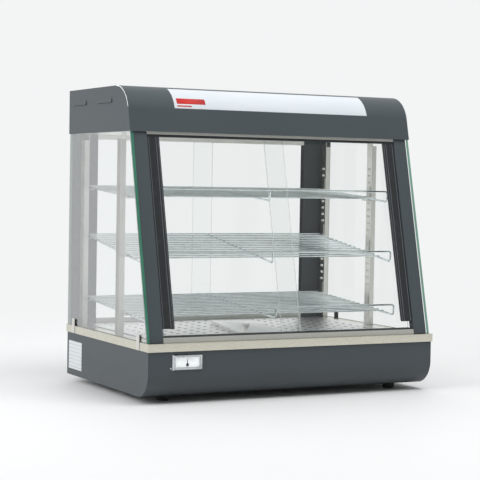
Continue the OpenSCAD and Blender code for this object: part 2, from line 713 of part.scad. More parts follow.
// Wire shelf: one bent frame wire, a centre bar and cross wires welded on top
module bar(a, l, d, turn) translate(a) rotate(turn) cylinder(d = d, h = l);

module frame_leg(x, reach) {
    bar([x, shelf_tail, 0], reach - bend_r + shelf_tail, bar_d, [90, 0, 0]);
    translate([x, bend_r - reach, bend_r]) rotate([90, 180, 90]) rotate_extrude(angle = 90)
        translate([bend_r, 0]) circle(d = bar_d);
}

module wire_shelf(k) {
    rear_z = support_z(rear_slots[k]);
    front_z = support_z(front_slots[k]);
    tilt = atan2(rear_z - front_z, rear_clip_y - front_clip_y);
    reach = (rear_clip_y - yf(front_z) - shelf_gaps[k]) / cos(tilt);
    wires = floor((reach - 2 * wire_pitch + shelf_tail) / wire_pitch) + 1;
    translate([0, rear_clip_y, rear_z]) rotate([tilt, 0, 0]) {
        both_sides() {
            frame_leg(bar_x, reach);
            bar([bar_x, -reach, bend_r], lip_h - 2 * bend_r, bar_d, [0, 0, 0]);
            translate([bar_x - bend_r, -reach, lip_h - bend_r]) rotate([90, 0, 0]) rotate_extrude(angle = 90)
                translate([bend_r, 0]) circle(d = bar_d);
        }
        bar([bend_r - bar_x, -reach, lip_h], 2 * (bar_x - bend_r), bar_d, [0, 90, 0]);
        frame_leg(0, reach);
        bar([0, -reach, bend_r], lip_h - bend_r, bar_d, [0, 0, 0]);
        for (n = [0:wires - 1])
            bar([-bar_x - 2, shelf_tail - 3 - n * wire_pitch, (bar_d + wire_d) / 2 - weld], 2 * bar_x + 4, wire_d,
                [0, 90, 0]);
    }
}
module shelf_top() color([0.82, 0.84, 0.84]) wire_shelf(0);
module shelf_middle() color([0.82, 0.84, 0.84]) wire_shelf(1);
module shelf_bottom() color([0.82, 0.84, 0.84]) wire_shelf(2);

// Header shell: slanted fascia, round shoulder and flat top, drawn in (y, z)
function shoulder(r, a) = [head_r_y - r * cos(a), head_r_z + r * sin(a)];
function bend(r, a0, a1) = [for (i = [0:bend_steps]) shoulder(r, a0 + (a1 - a0) * i / bend_steps)];
function fascia_foot(r) = [shoulder(r, slant)[0] - (shoulder(r, slant)[1] - head_z) * slope, head_z];

module header_outline()
    polygon(concat(bend(fascia_r, slant, 90), [[rear_y, case_h], [rear_y, head_z], fascia_foot(fascia_r)]));

// The part of the shoulder between two angles above the horizontal
module shoulder_wedge(a0, a1) polygon([
    [head_r_y, head_r_z],
    for (a = [a0, (a0 + a1) / 2, a1]) [head_r_y - far * cos(a), head_r_z + far * sin(a)]
]);

module shoulder_shell(r0, r1, a0, a1) intersection() {
    translate([head_r_y, head_r_z]) difference() {
        circle(r1);
        circle(r0);
    }
    shoulder_wedge(a0, a1);
}

module header_cover() color([0.3, 0.33, 0.35]) difference() {
    inner_r = fascia_r - sheet;
    top_end = [[rear_y - sheet, case_h], [rear_y - sheet, case_h - sheet]];
    along_x(sheet - head_x, head_x - sheet)
        polygon(concat(bend(fascia_r, slant, 90), top_end, bend(inner_r, 90, slant),
                       [fascia_foot(inner_r), fascia_foot(fascia_r)]));
    along_x(-sign_l / 2, sign_l / 2) shoulder_wedge(sign_low, sign_high);
}

module louvre_hood(y) {
    ends = [y - louvre_l / 2, y + louvre_l / 2];
    top = louvre_z + louvre_h / 2;
    low = louvre_z - louvre_h / 2;
    along_y(ends[0], ends[1])
        polygon([[head_x, top], [head_x + louvre_out, low], [head_x + louvre_out - 1, low], [head_x, top - 5.5]]);
    for (e = [ends[0], ends[1] - 1])
        along_y(e, e + 1) polygon([[head_x, top], [head_x + louvre_out, low], [head_x, low]]);
}

module header_side() {
    difference() {
        along_x(head_x - sheet, head_x) header_outline();
        for (y = louvre_y)
            block([head_x - 5, y - louvre_l / 2 + 1, louvre_z - louvre_h / 2],
                  [head_x + 5, y + louvre_l / 2 - 1, louvre_z]);
    }
    for (y = louvre_y) louvre_hood(y);
}
module header_side_left() color([0.45, 0.48, 0.5]) mirror([1, 0, 0]) header_side();
module header_side_right() color([0.3, 0.33, 0.35]) header_side();

module header_rear() color([0.3, 0.33, 0.35]) difference() {
    block([sheet - head_x, rear_y - sheet, head_z], [head_x - sheet, rear_y, case_h]);
    along_y(rear_y - 5, rear_y + 5) {
        for (s = [-1, 1], k = [0:7])
            translate([s * 190 + (k - 3.5) * 9, case_h - header_h / 2]) square([4, 34], center = true);
    }
    translate([0, rear_y, 0]) rotate([-90, 0, 0]) mirror([0, 1, 0]) header_screw_places()
        translate([0, 0, -sheet]) cylinder(d1 = 3.4, d2 = 3.4 + 2 * sheet, h = sheet);
}

module header_screw_places()
    for (x = [-1, 1], z = [head_z + 12, case_h - 12]) translate([x * (head_x - 16), z]) children();

module header_ceiling() color([0.8, 0.81, 0.8]) difference() {
    block([play - glass_in, fascia_y + 4, head_z], [glass_in - play, rear_y - sheet - play, head_z + sheet]);
    block([-lamp_l / 2 + 20, lamp_y - 25, head_z - 1], [lamp_l / 2 - 20, lamp_y + 25, head_z + 5]);
}

module sign_panel() color([0.93, 0.95, 0.97]) {
    r = fascia_r;
    trim = asin(play / r);
    spread = asin(sign_flange / r);
    along_x(play - sign_l / 2, sign_l / 2 - play)
        shoulder_shell(r - sheet - sign_t, r - 0.2, sign_low + trim, sign_high - trim);
    along_x(-sign_l / 2 - sign_flange, sign_l / 2 + sign_flange)
        shoulder_shell(r - sheet - sign_t, r - sheet - 0.2, sign_low - spread, sign_high + spread / 2);
}

module lamp_tube() color([0.97, 0.97, 0.95]) translate([-lamp_l / 2, lamp_y, lamp_z]) rotate([0, 90, 0]) {
    translate([0, 0, 14]) cylinder(d = lamp_d, h = lamp_l - 28);
    for (x = [4, lamp_l - 16]) translate([0, 0, x]) cylinder(d = lamp_d + 1, h = 12);
    for (x = [0, lamp_l - 6], y = [-3, 3]) translate([0, y, x]) cylinder(d = 2, h = 6);
}

module lamp_holders() color([0.93, 0.93, 0.9]) both_sides() difference() {
    block([lamp_l / 2 - 3, lamp_y - 11, head_z + sheet], [lamp_l / 2 + 12, lamp_y + 11, lamp_z + 11]);
    for (y = [-3, 3])
        translate([lamp_l / 2 - 4, lamp_y + y, lamp_z]) rotate([0, 90, 0]) cylinder(d = 2.4, h = 5);
}

// Pan head screws in the rear panel, the thermometer and the feet, countersunk ones in the header's rear
module screw(d, l) {
    rotate_extrude()
        polygon([[0, -l], [d / 2, -l], [d / 2, 0], [d, 0], [d, 0.8], [d * 0.6, d * 0.55], [0, d * 0.6]]);
}
module screws() color([0.78, 0.78, 0.76]) {
    translate([0, panel_y, 0]) rotate([-90, 0, 0]) mirror([0, 1, 0]) panel_screw_places() screw(3, 8);
    translate([0, rear_y, 0]) rotate([-90, 0, 0]) mirror([0, 1, 0]) header_screw_places() rotate_extrude()
        polygon([[0, -8], [1.5, -8], [1.5, -sheet], [1.5 + sheet, 0], [0, 0]]);
    translate([gauge_screw_x, base_front_y, gauge_screw_z]) rotate([90, 0, 0]) screw(2, 6);
    foot_places() translate([0, 0, 6]) rotate([180, 0, 0]) screw(5, 16);
}

base_front_panel();
base_side_left();
base_side_right();
base_rear_panel();
base_floor();
feet();
deck();
floor_plates();
heater_pan();
heating_element();
element_supports();
terminal_block();
thermostat_body();
thermostat_knob();
power_switch();
power_rocker();
light_switch();
light_rocker();
pilot_lamp();
cable_gland();
gauge_body();
gauge_dial();
gauge_needle();
gauge_lens();
rating_plate();
water_tray();
tray_cover();
tray_knob();
side_glass_left();
side_glass_right();
glass_clips();
clip_pads();
front_post_left();
front_post_right();
door_channels();
front_lower_track();
front_upper_track();
front_track_liners();
front_door_left();
front_door_right();
rear_post_left();
rear_post_right();
rear_tracks();
rear_door_left();
rear_door_right();
front_uprights();
rear_uprights();
shelf_clips();
shelf_top();
shelf_middle();
shelf_bottom();
header_side_left();
header_side_right();
header_cover();
header_rear();
header_ceiling();
sign_panel();
lamp_tube();
lamp_holders();
screws();
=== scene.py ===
# %% [markdown]
# # A countertop hot food display case
# The case is a warm glass box for pies and snacks: a painted base with a heater, a stainless deck,
# slanted sliding doors in front, three sloping wire shelves, and a lit header with a white sign.
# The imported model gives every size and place. This lesson gives each piece its softened edges and its
# finish, models the bent sheets again as smooth bends, and sets the light and the camera.

# %% Load the frame
import json
from math import atan2, cos, pi, radians, sin, tan

import bmesh
import bpy
from mathutils import Matrix, Vector


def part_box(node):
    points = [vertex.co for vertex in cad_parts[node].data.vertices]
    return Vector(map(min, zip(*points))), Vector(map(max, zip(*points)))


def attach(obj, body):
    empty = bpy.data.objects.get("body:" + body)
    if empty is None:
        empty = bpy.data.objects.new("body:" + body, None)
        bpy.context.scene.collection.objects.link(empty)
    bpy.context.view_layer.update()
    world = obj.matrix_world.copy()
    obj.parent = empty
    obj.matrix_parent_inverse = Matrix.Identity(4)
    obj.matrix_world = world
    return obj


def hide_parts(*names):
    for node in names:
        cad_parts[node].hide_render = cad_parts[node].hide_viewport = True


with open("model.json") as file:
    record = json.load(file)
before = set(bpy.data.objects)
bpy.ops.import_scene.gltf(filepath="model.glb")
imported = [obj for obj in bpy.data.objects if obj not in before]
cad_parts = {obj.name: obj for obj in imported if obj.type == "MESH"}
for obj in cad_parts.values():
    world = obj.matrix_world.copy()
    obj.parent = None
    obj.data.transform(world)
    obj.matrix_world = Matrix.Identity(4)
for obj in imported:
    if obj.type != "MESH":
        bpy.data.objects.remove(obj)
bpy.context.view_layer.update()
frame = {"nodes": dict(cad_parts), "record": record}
record = frame["record"]
nodes = frame["nodes"]
body_of = {n: body for body, names in record["behaviour"]["bodies"].items() for n in names}
slot_of = {part["node"]: part["material_slot"] for part in record["subparts"]}
MM = 0.001

# %% [markdown]
# ## The camera
# The view is a long lens at about three metres, a little left of the case and just above its middle.
# A camera looks along its own -Z, so its matrix is built from three directions: right, up and back.
# Working them out from a heading, a dip and a roll keeps the numbers readable.

# %% Camera
HEADING, DIP, ROLL = radians(27.376), radians(2.249), radians(0.966)
EYE = Vector((-1.5105, -2.8768, 0.4374))
ahead = Vector((sin(HEADING) * cos(DIP), cos(HEADING) * cos(DIP), -sin(DIP)))
level = ahead.cross(Vector((0, 0, 1))).normalized()
upright = level.cross(ahead)
right = level * cos(ROLL) + upright * sin(ROLL)
up = upright * cos(ROLL) - level * sin(ROLL)
camera_data = bpy.data.cameras.new("camera")
camera_data.lens = 113.94
camera_data.sensor_width = 36
camera_data.clip_end = 50
camera = bpy.data.objects.new("camera", camera_data)
bpy.context.scene.collection.objects.link(camera)
camera.matrix_world = Matrix.Translation(EYE) @ Matrix((right, up, -ahead)).transposed().to_4x4()
bpy.context.scene.camera = camera
print("camera", [round(v, 3) for v in EYE], "lens", camera_data.lens)

# %% [markdown]
# ## The room
# A plain pale floor and soft light, as in a product studio: bright paper behind the case and at its
# sides, and a darker room in front of it, so that the paint stays deep and the chrome has something
# dark to mirror. The world's colour depends on the direction it's seen in, from white behind the case
# to grey in front of it. Three large panels shape the sheet metal. They don't show in the glass.

# %% Floor, world and lamps
bpy.ops.object.select_all(action="DESELECT")
bpy.ops.mesh.primitive_plane_add(size=60, location=(0, 0, -0.0005))
floor = bpy.context.object
floor.name = "studio_floor"

scene = bpy.context.scene
scene.view_settings.view_transform = "Standard"
scene.cycles.transparent_max_bounces = 32

PALE_AIR = (0.9, 0.905, 0.91, 1)
ROOM_GREY = (0.37, 0.375, 0.36, 1)
world = bpy.data.worlds.new("studio_air")
scene.world = world
world.use_nodes = True
air = world.node_tree
direction = air.nodes.new("ShaderNodeTexCoord")
parts = air.nodes.new("ShaderNodeSeparateXYZ")
fade = air.nodes.new("ShaderNodeMapRange")
fade.inputs["From Min"].default_value = -0.75
fade.inputs["From Max"].default_value = 0.1
shade = air.nodes.new("ShaderNodeMix")
shade.data_type = "RGBA"
shade.inputs[6].default_value = ROOM_GREY
shade.inputs[7].default_value = PALE_AIR
air.links.new(direction.outputs["Generated"], parts.inputs["Vector"])
air.links.new(parts.outputs["Y"], fade.inputs["Value"])
air.links.new(fade.outputs["Result"], shade.inputs[0])
air.links.new(shade.outputs[2], air.nodes["Background"].inputs["Color"])


def panel_light(name, place, aim, size, power):
    """A large square soft light at place, facing aim."""
    data = bpy.data.lights.new(name, "AREA")
    data.shape = "SQUARE"
    data.size = size
    data.energy = power
    lamp = bpy.data.objects.new(name, data)
    bpy.context.scene.collection.objects.link(lamp)
    lamp.location = place
    lamp.rotation_euler = (Vector(aim) - Vector(place)).to_track_quat("-Z", "Y").to_euler()
    lamp.visible_glossy = False
    return lamp


panel_light("key_light", (-3.2, -0.4, 1.9), (0, 0, 0.3), 2.0, 62)
panel_light("top_light", (0.5, -1.2, 2.9), (0, 0, 0.4), 1.8, 58)
panel_light("rear_light", (0.6, 2.8, 1.6), (0, 0, 0.3), 1.6, 20)

# %% [markdown]
# ## Shader arithmetic
# Finishes here are formulas: a base colour times a slow cloud, a roughness plus a fine grain.
# Dragging Math nodes together by hand gets slow, so a small class wraps a socket and lets Python's
# own + - * / write the Math nodes. One method, `add`, makes every other kind of node.


# %% Socket arithmetic
class Value:
    """A number that a shader works out, wrapped so that Python's operators add Math nodes."""

    def __init__(self, tree, socket):
        self.tree, self.socket = tree, socket

    def math(self, operation, *others):
        return self.tree.add("ShaderNodeMath", {"operation": operation}, dict(enumerate([self, *others])))

    def __add__(self, other):
        return self.math("ADD", other)

    def __mul__(self, other):
        return self.math("MULTIPLY", other)

    def __sub__(self, other):
        return self.math("SUBTRACT", other)

    def __truediv__(self, other):
        return self.math("DIVIDE", other)

    def __rsub__(self, other):
        return (self * -1) + other

    def __rtruediv__(self, other):
        return self.math("POWER", -1) * other

    def __pow__(self, power):
        return self.math("POWER", power)

    def __abs__(self):
        return self.math("ABSOLUTE")

    def step(self, low, high):
        """0 below low, 1 above high, and a smooth slope between."""
        settings = {"interpolation_type": "SMOOTHSTEP"}
        inputs = {"Value": self, "From Min": low, "From Max": high}
        return self.tree.add("ShaderNodeMapRange", settings, inputs)

    __radd__ = __add__
    __rmul__ = __mul__


class Shader:
    """A new material and its node tree."""

    def __init__(self, name):
        self.material = bpy.data.materials.new(name)
        self.material.use_nodes = True
        self.tree = self.material.node_tree
        self.tree.nodes.clear()
        self.output = self.tree.nodes.new("ShaderNodeOutputMaterial")
        self.place = self.add("ShaderNodeTexCoord", out="Object")

    def add(self, kind, settings=None, inputs=None, out=0):
        """Makes one node: settings first, a ramp's stops among them, then its sockets' values or links."""
        node = self.tree.nodes.new(kind)
        for name, value in (settings or {}).items():
            if name == "stops":
                while len(node.color_ramp.elements) < len(value):
                    node.color_ramp.elements.new(0.5)
                for stop, (position, color) in zip(node.color_ramp.elements, value):
                    stop.position, stop.color = position, (*color, 1)
            else:
                setattr(node, name, value)
        for key, value in (inputs or {}).items():
            if isinstance(value, Value):
                self.tree.links.new(value.socket, node.inputs[key])
            else:
                node.inputs[key].default_value = value
        return Value(self, node.outputs[out])

    def noise(self, scale, detail=2.0, stretch=(1, 1, 1), roughness=0.5):
        """Cloudy noise from 0 to 1 in the row frame, with `scale` clouds a metre."""
        place = self.add("ShaderNodeMapping", {}, {"Vector": self.place, "Scale": stretch})
        inputs = {"Vector": place, "Scale": scale, "Detail": detail, "Roughness": roughness}
        return self.add("ShaderNodeTexNoise", {}, inputs, "Fac")

    def axis(self, name):
        """One coordinate of the point, X, Y or Z, in metres."""
        return self.add("ShaderNodeSeparateXYZ", {}, {"Vector": self.place}, name)

    def blend(self, factor, a, b):
        """Colour a where factor is 0 and b where it is 1."""
        colors = {6: a if isinstance(a, Value) else (*a, 1), 7: b if isinstance(b, Value) else (*b, 1)}
        return self.add("ShaderNodeMix", {"data_type": "RGBA"}, {0: factor, **colors}, 2)

    def bump(self, height, distance, strength=1.0, normal=None):
        """A bumped normal from a height between 0 and 1 that stands for `distance` metres."""
        inputs = {"Height": height, "Distance": distance, "Strength": strength}
        if normal:
            inputs["Normal"] = normal
        return self.add("ShaderNodeBump", {}, inputs)

    def principled(self, **sockets):
        inputs = {name.replace("_", " "): value for name, value in sockets.items()}
        return self.add("ShaderNodeBsdfPrincipled", {}, inputs)

    def done(self, surface):
        self.tree.links.new(surface.socket, self.output.inputs["Surface"])
        return self.material


print("shader helper ready")

# %% [markdown]
# ## Painted sheet
# The base, the posts and the header are folded steel with a satin powder coat: a dark slate grey with
# a faint orange peel, a slow drift in tone, and a little dust low down. The peel is a fine noise in
# the bump, and the same clouds move the roughness so that the sheen isn't even.


# %% Powder coat
def powder_coat(name, color, roughness):
    s = Shader(name)
    cloud = s.noise(5, 3)
    speck = s.noise(1400, 1)
    tone = s.blend(cloud, tuple(c * 0.9 for c in color), tuple(c * 1.12 for c in color))
    dusty = (s.axis("Z") * -1 + 0.06).step(0, 0.06) * s.noise(60, 4) * 0.25
    tone = s.blend(dusty, tone, (0.16, 0.16, 0.155))
    peel = s.bump(s.noise(420, 2) + speck * 0.3, 0.00012, 0.5)
    gloss = cloud * 0.1 + speck * 0.06 + (roughness - 0.08)
    return s.done(s.principled(Base_Color=tone, Roughness=gloss, Normal=peel, Specular_IOR_Level=0.35))


slate = powder_coat("slate_paint", (0.055, 0.067, 0.075), 0.44)
print(slate.name, len(slate.node_tree.nodes), "nodes")

# %% [markdown]
# ## Brushed stainless
# The deck, the clips, the uprights and the floor plates are stainless sheet with a fine brushed grain
# along the case. Noise that is squeezed hard across the grain gives the hairlines. It moves the
# roughness and a very shallow bump, and a slow cloud warms and cools the tone as handling does.
# The floor plates are punched, and the walls of their holes get a painted shade, for the dark inside the
# holes where little light gets in: they're the faces that don't look up or down, so the normal picks them
# out.


# %% Brushed metal
def brushed(name, color, roughness, grain=(6, 400, 400), streak=0.12, paint_hole_shade=False):
    s = Shader(name)
    hair = s.noise(3, 3, grain, 0.65)
    cloud = s.noise(9, 3)
    tone = s.blend(cloud, tuple(c * 0.93 for c in color), color)
    tone = s.blend(hair * 0.25, tone, tuple(c * 0.72 for c in color))
    # Painted shade: the hole walls, faces that don't look up or down, are darkened to near black.
    if paint_hole_shade:
        facing = s.add("ShaderNodeNewGeometry", {}, {}, "Normal")
        level = abs(s.add("ShaderNodeSeparateXYZ", {}, {"Vector": facing}, "Z"))
        tone = s.blend(1 - level.step(0.3, 0.7), tone, (0.03, 0.03, 0.032))
    gloss = hair * streak + cloud * 0.06 + (roughness - streak / 2)
    brushing = s.bump(hair, 0.00004, 0.6)
    return s.done(s.principled(Base_Color=tone, Metallic=1.0, Roughness=gloss, Normal=brushing))


stainless = brushed("stainless", (0.78, 0.77, 0.73), 0.32)
deck_steel = brushed("deck_steel", (0.7, 0.68, 0.58), 0.24)
bright_plate = brushed("bright_plate", (0.95, 0.95, 0.95), 0.3, streak=0.08)
aluminium = brushed("track_aluminium", (0.84, 0.84, 0.8), 0.4)
painted_hole_shade_plate = brushed("painted_hole_shade_plate", (0.95, 0.95, 0.95), 0.34, streak=0.08, paint_hole_shade=True)
screw_steel = brushed("screw_steel", (0.7, 0.69, 0.66), 0.3, (200, 200, 200))
print("brushed metals ready")

# %% [markdown]
# ## Chromed wire and trim
# Chrome is nearly a mirror, so what it needs is something small to break it: faint ripples in the
# plating and a few duller patches near the welds. Both come from noise at the size of the wire.


# %% Chrome
def chrome(name, color, roughness, ripple):
    s = Shader(name)
    patch = s.noise(45, 4).step(0.45, 0.75)
    tone = s.blend(patch, color, tuple(c * 0.8 for c in color))
    gloss = patch * 0.12 + s.noise(700, 2) * 0.05 + roughness
    normal = s.bump(s.noise(ripple, 2), 0.00008, 0.5)
    return s.done(s.principled(Base_Color=tone, Metallic=1.0, Roughness=gloss, Normal=normal))


chrome_wire = chrome("chrome_wire", (0.84, 0.91, 0.93), 0.12, 160)
chrome_trim = chrome("chrome_trim", (0.55, 0.57, 0.59), 0.16, 60)
print("chrome ready")

# %% [markdown]
# ## Zinc-coated sheet and heated metal
# The underside and the heater pan aren't seen from the front, and are plain zinc-coated sheet: its
# crystals, the spangle, are Voronoi cells that each catch the light a little differently. The heating
# element has a sheath that heat has turned brown and blue-grey in bands along its length.


# %% Zinc and heater sheath
def zinc_sheet():
    s = Shader("galvanised_sheet")
    crystal = s.add("ShaderNodeTexVoronoi", {}, {"Vector": s.place, "Scale": 110.0}, "Color")
    shade = s.add("ShaderNodeSeparateColor", {}, {"Color": crystal}, "Red")
    tone = s.blend(shade, (0.3, 0.31, 0.32), (0.42, 0.43, 0.44))
    return s.done(s.principled(Base_Color=tone, Metallic=0.9, Roughness=shade * 0.2 + 0.34,
                               Normal=s.bump(s.noise(500, 2), 0.00005, 0.4)))


def heat_tinted():
    s = Shader("heater_sheath")
    band = s.noise(14, 4)
    tone = s.add("ShaderNodeValToRGB", {"stops": [(0.3, (0.06, 0.05, 0.05)), (0.5, (0.16, 0.1, 0.06)),
                                                  (0.7, (0.09, 0.1, 0.13))]}, {"Fac": band}, "Color")
    return s.done(s.principled(Base_Color=tone, Metallic=0.7, Roughness=band * 0.3 + 0.35,
                               Normal=s.bump(s.noise(900, 3), 0.0001, 0.6)))


zinc = zinc_sheet()
sheath = heat_tinted()
print(zinc.name, sheath.name)

# %% [markdown]
# ## Plastics, rubber and ceramic
# Moulded pieces share one recipe: a colour with a slow drift, a fine moulding texture in the bump and
# a roughness that follows it. Rubber is rougher and a little dusty, ceramic is glossy with a pale
# glaze, and the sign's acrylic is smooth with a painted glow that stands for the tube behind it.


# %% Moulded finishes
def moulded(name, color, roughness, grain=900, depth=0.00008, dust=0.04, **extra):
    s = Shader(name)
    cloud = s.noise(25, 3)
    skin = s.noise(grain, 2)
    tone = s.blend(cloud, tuple(c * 0.88 for c in color), color)
    tone = s.blend(s.noise(90, 5).step(0.5, 0.9) * dust * 4, tone, tuple(c * 0.7 + 0.14 for c in color))
    gloss = skin * 0.12 + cloud * 0.08 + (roughness - 0.1)
    return s.done(s.principled(Base_Color=tone, Roughness=gloss, Normal=s.bump(skin, depth, 0.5), **extra))


black_plastic = moulded("black_plastic", (0.018, 0.021, 0.024), 0.4)
# Painted highlight: the ribs are a lighter grey than the black channel they're moulded on, for the light
# lines along them.
rib_highlight_plastic = moulded("rib_highlight_plastic", (0.1, 0.11, 0.118), 0.3)
# Painted highlight: a white that glows a little, for the bead that stands for the bright line round the
# header's curve.
glowing_highlight_white = moulded("glowing_highlight_white", (0.86, 0.86, 0.86), 0.25, dust=0.01,
                     Emission_Color=(1, 1, 1, 1), Emission_Strength=0.25)
film_red = moulded("film_red", (0.5, 0.02, 0.018), 0.35, dust=0.01)
rubber = moulded("rubber", (0.02, 0.02, 0.02), 0.72, 500, 0.0002, 0.1)
red_plastic = moulded("red_plastic", (0.45, 0.012, 0.01), 0.25, dust=0.02, Coat_Weight=0.4)
amber_plastic = moulded("amber_plastic", (0.75, 0.2, 0.02), 0.2, dust=0.01, Coat_Weight=0.6)
white_plastic = moulded("white_plastic", (0.82, 0.82, 0.8), 0.3, dust=0.01)
ceramic = moulded("ceramic", (0.72, 0.68, 0.6), 0.25, 300, 0.0002, 0.03, Coat_Weight=0.5)
lamp_glass = moulded("lamp_glass", (0.9, 0.9, 0.88), 0.25, dust=0.01, Coat_Weight=0.3)
# Painted light: the dial face glows a little, so that it stays white under its lens and bezel.
dial_face = moulded("dial_face", (0.93, 0.93, 0.93), 0.35, dust=0.01,
                    Emission_Color=(0.9, 0.95, 1, 1), Emission_Strength=0.3)
ink = moulded("dial_ink", (0.02, 0.02, 0.022), 0.5)
print("moulded finishes ready")

# %% [markdown]
# ## The blank label
# The plate on the side is a printed film. What was printed isn't repeated: faint ruled lines stand
# for it. The fraction of the height times a pitch makes a sawtooth, and its top becomes a thin line.


# %% Ruled label
def ruled_label():
    s = Shader("label_film")
    saw = (s.axis("Z") * 125.0).math("FRACT")
    line = saw.step(0.72, 0.84) * s.noise(40, 3).step(0.3, 0.5) * 0.45
    tone = s.blend(line, (0.62, 0.65, 0.66), (0.3, 0.33, 0.34))
    gloss = s.noise(300, 2) * 0.1 + 0.4
    grit = s.bump(s.noise(500, 2), 0.00005, 0.4)
    return s.done(s.principled(Base_Color=tone, Roughness=gloss, Normal=grit))


label_film = ruled_label()
print(label_film.name)

# %% [markdown]
# ## Sign acrylic
# The sign is white acrylic with a cool tone, with a painted glow that makes it brighter along its middle,
# where the tube is behind it. A band from the height gives that painted glow, and the surface stays glossy.


# %% Acrylic
def acrylic():
    s = Shader("sign_acrylic")
    # Painted light: the emission along this band stands for the tube's light through the sign.
    band = 1 - abs(s.axis("Z") - 0.604) * 26
    tone = s.blend(s.noise(8, 3), (0.53, 0.57, 0.61), (0.58, 0.61, 0.64))
    painted_tube_glow = s.blend(band.step(0, 1), (0.01, 0.011, 0.012), (0.03, 0.032, 0.034))
    gloss = s.noise(300, 2) * 0.06 + 0.12
    return s.done(s.principled(Base_Color=tone, Roughness=gloss, Emission_Color=painted_tube_glow, Emission_Strength=1.0,
                               Normal=s.bump(s.noise(14, 1), 0.0004, 0.2), Coat_Weight=0.3))


sign_acrylic = acrylic()
print(sign_acrylic.name)

# %% [markdown]
# ## Clear glass
# A pane is almost invisible face on, reflects at a slant, and shows green through its ground edges.
# Real refraction would leave the inside dark, because light couldn't reach it through the panes, so
# the faces mix a transparent shader with a glossy one by Fresnel. Only the face where light enters
# mirrors it, because a ray that isn't bent would see the far face as a perfect mirror at a slant.
# The edges are found by the normal:
# a point whose normal isn't the pane's own is on an edge, and gets a solid rim: green for ground edges,
# and for polished ones a pale grey that is a painted highlight. The left pane is
# looked at from outside and keeps a stronger veil and a little haze; the others are clearer.


# %% Glass
def clear_glass(name, facing, dark_rim, pale_rim, veil=0.9, rim_weight=0.85, haze=0.0):
    s = Shader(name)
    normal = s.add("ShaderNodeNewGeometry", {}, {}, "Normal")
    leaving = s.add("ShaderNodeNewGeometry", {}, {}, "Backfacing")
    along = s.add("ShaderNodeVectorMath", {"operation": "DOT_PRODUCT"}, {0: normal, 1: facing}, "Value")
    edge = 1 - abs(along).step(0.55, 0.8)
    smear = s.noise(9, 4).step(0.5, 0.8)
    fresnel = s.add("ShaderNodeFresnel", {}, {"IOR": 1.5}) * (1 - leaving)
    clear = s.add("ShaderNodeBsdfTransparent", {}, {"Color": (0.99, 0.996, 0.993, 1)})
    mirror = s.add("ShaderNodeBsdfAnisotropic", {},
                   {"Color": (0.95, 0.97, 0.97, 1), "Roughness": smear * 0.02 + 0.01})
    face = s.add("ShaderNodeMixShader", {}, {0: fresnel * veil + smear * 0.004 + haze, 1: clear, 2: mirror})
    green = s.blend(s.noise(30, 3), dark_rim, pale_rim)
    rim = s.principled(Base_Color=green, Roughness=s.noise(400, 2) * 0.15 + 0.12)
    return s.done(s.add("ShaderNodeMixShader", {}, {0: edge * rim_weight, 1: face, 2: rim}))


low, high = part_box("front_door_left")
LEAN = atan2(high.y - low.y - 0.004, high.z - low.z)
# Painted highlight: polished edges get a pale grey rim for the bright lines they catch, where ground edges
# keep the green of the glass.
PALE_RIM_HIGHLIGHT = ((0.5, 0.56, 0.55), (0.78, 0.82, 0.81))
GROUND = ((0.012, 0.13, 0.075), (0.04, 0.22, 0.14))
slanted_glass = clear_glass("door_glass_front", (0, -cos(LEAN), sin(LEAN)), *PALE_RIM_HIGHLIGHT, 1.5, 0.6)
upright_glass = clear_glass("door_glass_rear", (0, 1, 0), *PALE_RIM_HIGHLIGHT, 0.5, 0.5)
left_side_glass = clear_glass("side_glass_left_pane", (1, 0, 0), *GROUND, 2.0, 0.85, 0.06)
right_side_glass = clear_glass("side_glass_right_pane", (1, 0, 0), *GROUND, 0.5)
lens_glass = clear_glass("gauge_lens_glass", (0, 1, 0), *PALE_RIM_HIGHLIGHT, 0.5)
print("lean of the front", round(LEAN * 180 / pi, 2), "degrees")

# %% [markdown]
# ## Softened copies of the CAD pieces
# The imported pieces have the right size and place, but knife-sharp edges that catch no light. Each is
# copied, its loose triangles are merged and flat ones dissolved into whole faces, and a small bevel
# rounds the edges. Bevelling a clean copy keeps every fit and adds the thin highlights of real sheet.
# Weighting the normals by face size keeps the large faces flat right up to their bevels.


# %% Soften
def only(piece):
    """Leaves piece alone selected and active."""
    bpy.ops.object.select_all(action="DESELECT")
    piece.select_set(True)
    bpy.context.view_layer.objects.active = piece


def apply_modifier(piece, kind, **settings):
    only(piece)
    modifier = piece.modifiers.new(kind.lower(), kind)
    for name, value in settings.items():
        setattr(modifier, name, value)
    bpy.ops.object.modifier_apply(modifier=modifier.name)


def place_piece(piece, body, slot, material, *stands_for):
    """Gives a finished piece its finish and its body, and hides the nodes that it stands for. The slot is not
    used.
    """
    piece.data.materials.clear()
    piece.data.materials.append(material)
    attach(piece, body)
    if stands_for:
        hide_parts(*stands_for)
    return piece


def soften(node, width, material, segments=2, angle=32):
    piece = bpy.data.objects.new(node + "_soft", nodes[node].data.copy())
    bpy.context.scene.collection.objects.link(piece)
    only(piece)
    bpy.ops.object.mode_set(mode="EDIT")
    bpy.ops.mesh.select_all(action="SELECT")
    bpy.ops.mesh.remove_doubles(threshold=0.000005)
    bpy.ops.mesh.dissolve_limited(angle_limit=radians(0.5))
    bpy.ops.object.mode_set(mode="OBJECT")
    if width:
        apply_modifier(piece, "BEVEL", width=width * MM, segments=segments, limit_method="ANGLE",
                       angle_limit=radians(angle), use_clamp_overlap=True)
    only(piece)
    bpy.ops.object.shade_smooth_by_angle(angle=radians(angle))
    apply_modifier(piece, "WEIGHTED_NORMAL", keep_sharp=True, weight=80)
    return place_piece(piece, body_of[node], slot_of[node], material, node)


